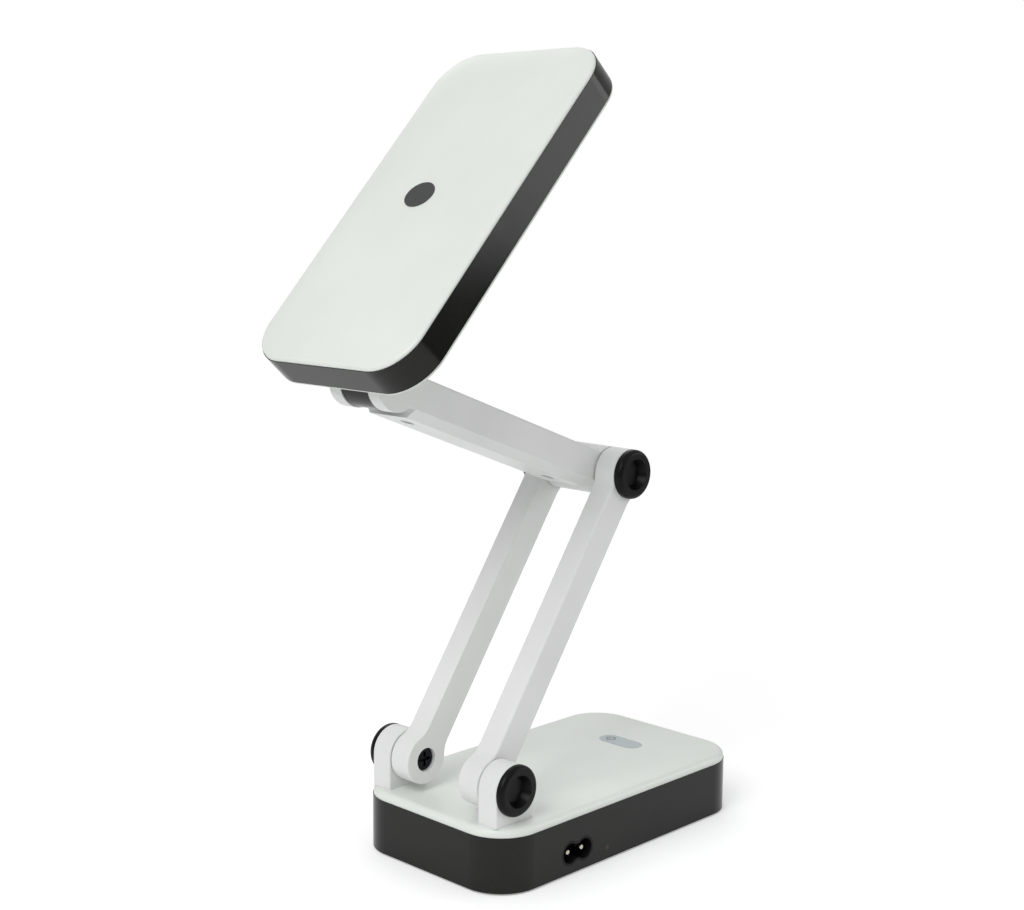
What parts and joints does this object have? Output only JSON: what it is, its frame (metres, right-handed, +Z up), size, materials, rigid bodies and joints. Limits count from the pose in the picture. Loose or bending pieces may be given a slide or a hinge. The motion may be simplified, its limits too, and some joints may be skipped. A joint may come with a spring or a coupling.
{
  "type": "folding desk lamp",
  "caption": "Folding rechargeable desk lamp: flat rounded base, twin lower legs, upper arm and flat tilting light panel, with a figure-eight mains inlet.",
  "frame": {"origin": "centre of the underside of the base, on the face of the rest pad", "axes": "+X along the base from its hinge end to its far end, +Y to the lamp's left side, +Z up"},
  "size_m": [0.2124, 0.09, 0.3406],
  "materials": {
    "white_abs": "satin-gloss moulded ABS, white",
    "black_gloss_abs": "gloss moulded ABS, black",
    "rubber_pad": "matt rubber",
    "zinc_steel": "zinc-plated steel",
    "socket_nylon": "matt moulded nylon, black",
    "black_oxide_steel": "black-oxide steel",
    "nickel_contact": "nickel-plated brass",
    "circuit_board": "green solder mask",
    "components": "moulded component bodies",
    "copper": "bare copper",
    "battery_case": "dark grey battery case",
    "indicator_lens": "tinted clear lens",
    "key_print": "pale grey key",
    "wire_sheath": "PVC wire sheath",
    "reflector_white": "white reflector",
    "led_package": "phosphor-coated light package",
    "diffuser_acrylic": "frosted acrylic",
    "badge_ink": "dark grey badge"
  },
  "bodies": {
    "base": {"base_bottom_cover": "black_gloss_abs", "base_friction_washers": "zinc_steel", "base_hinge_cap_left": "black_gloss_abs", "base_hinge_cap_right": "black_gloss_abs", "base_hinge_pins": "zinc_steel", "base_hinge_screws": "black_oxide_steel", "base_hinge_washers": "black_oxide_steel", "base_screws": "zinc_steel", "base_side_band": "black_gloss_abs", "base_top_cover": "white_abs", "battery_pack": "battery_case", "charge_indicator_lens": "indicator_lens", "charger_board": "circuit_board", "charger_components": "components", "hinge_tower_left": "white_abs", "hinge_tower_right": "white_abs", "mains_inlet_pins": "nickel_contact", "mains_inlet_socket": "socket_nylon", "rest_pad": "rubber_pad", "sensor_board_screws": "zinc_steel", "touch_key": "key_print", "touch_sensor_board": "circuit_board", "touch_sensor_plate": "copper", "tower_screws": "zinc_steel"},
    "lower_arm": {"leg_shell_left": "white_abs", "leg_shell_right": "white_abs", "leg_cover_left": "white_abs", "leg_cover_right": "white_abs", "elbow_shaft": "zinc_steel", "elbow_cap_left": "black_gloss_abs", "elbow_cap_right": "black_gloss_abs", "elbow_washers": "zinc_steel", "leg_wires": "wire_sheath"},
    "upper_arm": {"arm_upper_shell": "white_abs", "arm_lower_cover": "white_abs", "arm_screws": "zinc_steel", "arm_wires": "wire_sheath"},
    "head": {"head_back_cover": "white_abs", "head_side_band": "black_gloss_abs", "head_bezel": "white_abs", "head_screws": "zinc_steel", "head_badge": "badge_ink", "head_hinge_knuckle": "black_gloss_abs", "head_hinge_pin": "zinc_steel", "knuckle_screws": "zinc_steel", "light_diffuser": "diffuser_acrylic", "reflector_tray": "reflector_white", "led_board": "circuit_board", "led_chips": "led_package"}
  },
  "joints": [
    {"name": "lower_arm_hinge", "type": "hinge", "parent": "base", "child": "lower_arm", "pos_m": [-0.064, 0, 0.042], "axis": [0, 1, 0], "range_deg": [-40, 46]},
    {"name": "elbow_hinge", "type": "hinge", "parent": "lower_arm", "child": "upper_arm", "pos_m": [0.01836, 0, 0.16183], "axis": [0, -1, 0], "range_deg": [-74, 60]},
    {"name": "head_hinge", "type": "hinge", "parent": "upper_arm", "child": "head", "pos_m": [-0.10552, 0, 0.20913], "axis": [0, 1, 0], "range_deg": [-82, 68]}
  ]
}
